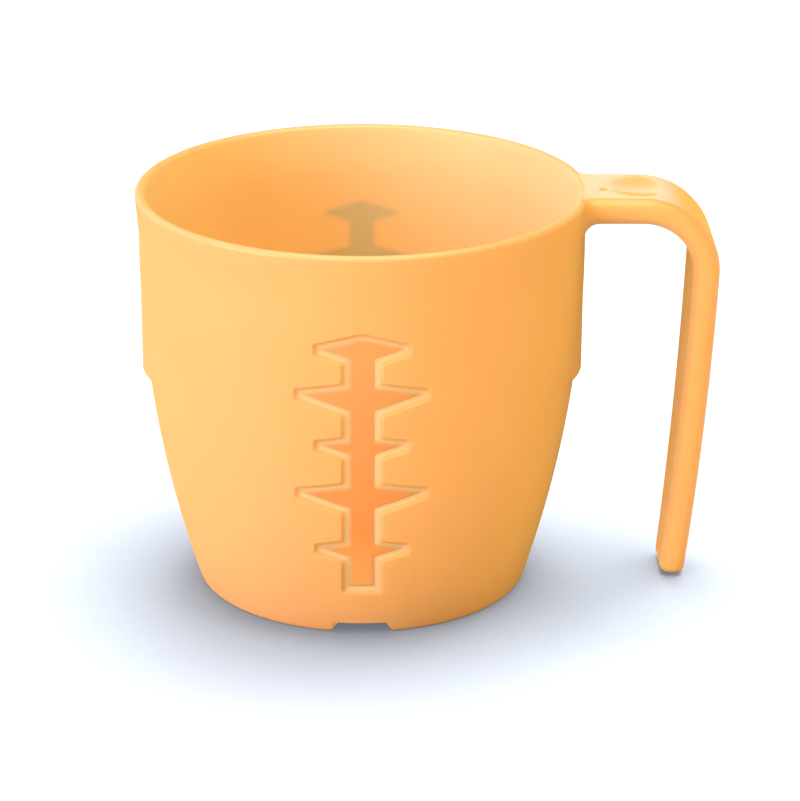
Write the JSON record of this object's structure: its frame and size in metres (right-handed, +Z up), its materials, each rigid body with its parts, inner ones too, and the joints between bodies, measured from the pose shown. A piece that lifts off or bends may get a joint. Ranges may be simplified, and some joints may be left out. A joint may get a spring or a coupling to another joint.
{
  "type": "adaptive mug",
  "caption": "Tapered care mug in apricot plastic with a wide open J handle, a thumb dish, stacking lugs and fishbone level windows that show the fill from either side.",
  "frame": {"origin": "axis of the cup at the level on which the foot ring stands", "axes": "+Z up along the axis of the cup, +X from the cup towards the handle, -Y out of the front level window"},
  "size_m": [0.1119, 0.087, 0.0793],
  "materials": {
    "apricot_plastic": "satin moulded plastic",
    "handle_plastic": "satin moulded plastic",
    "front_window_plastic": "smooth, slightly see-through",
    "rear_window_plastic": "smooth, slightly see-through"
  },
  "bodies": {
    "root": {"cup_body": "apricot_plastic", "handle": "handle_plastic", "front_level_window": "front_window_plastic", "rear_level_window": "rear_window_plastic"}
  },
  "joints": []
}
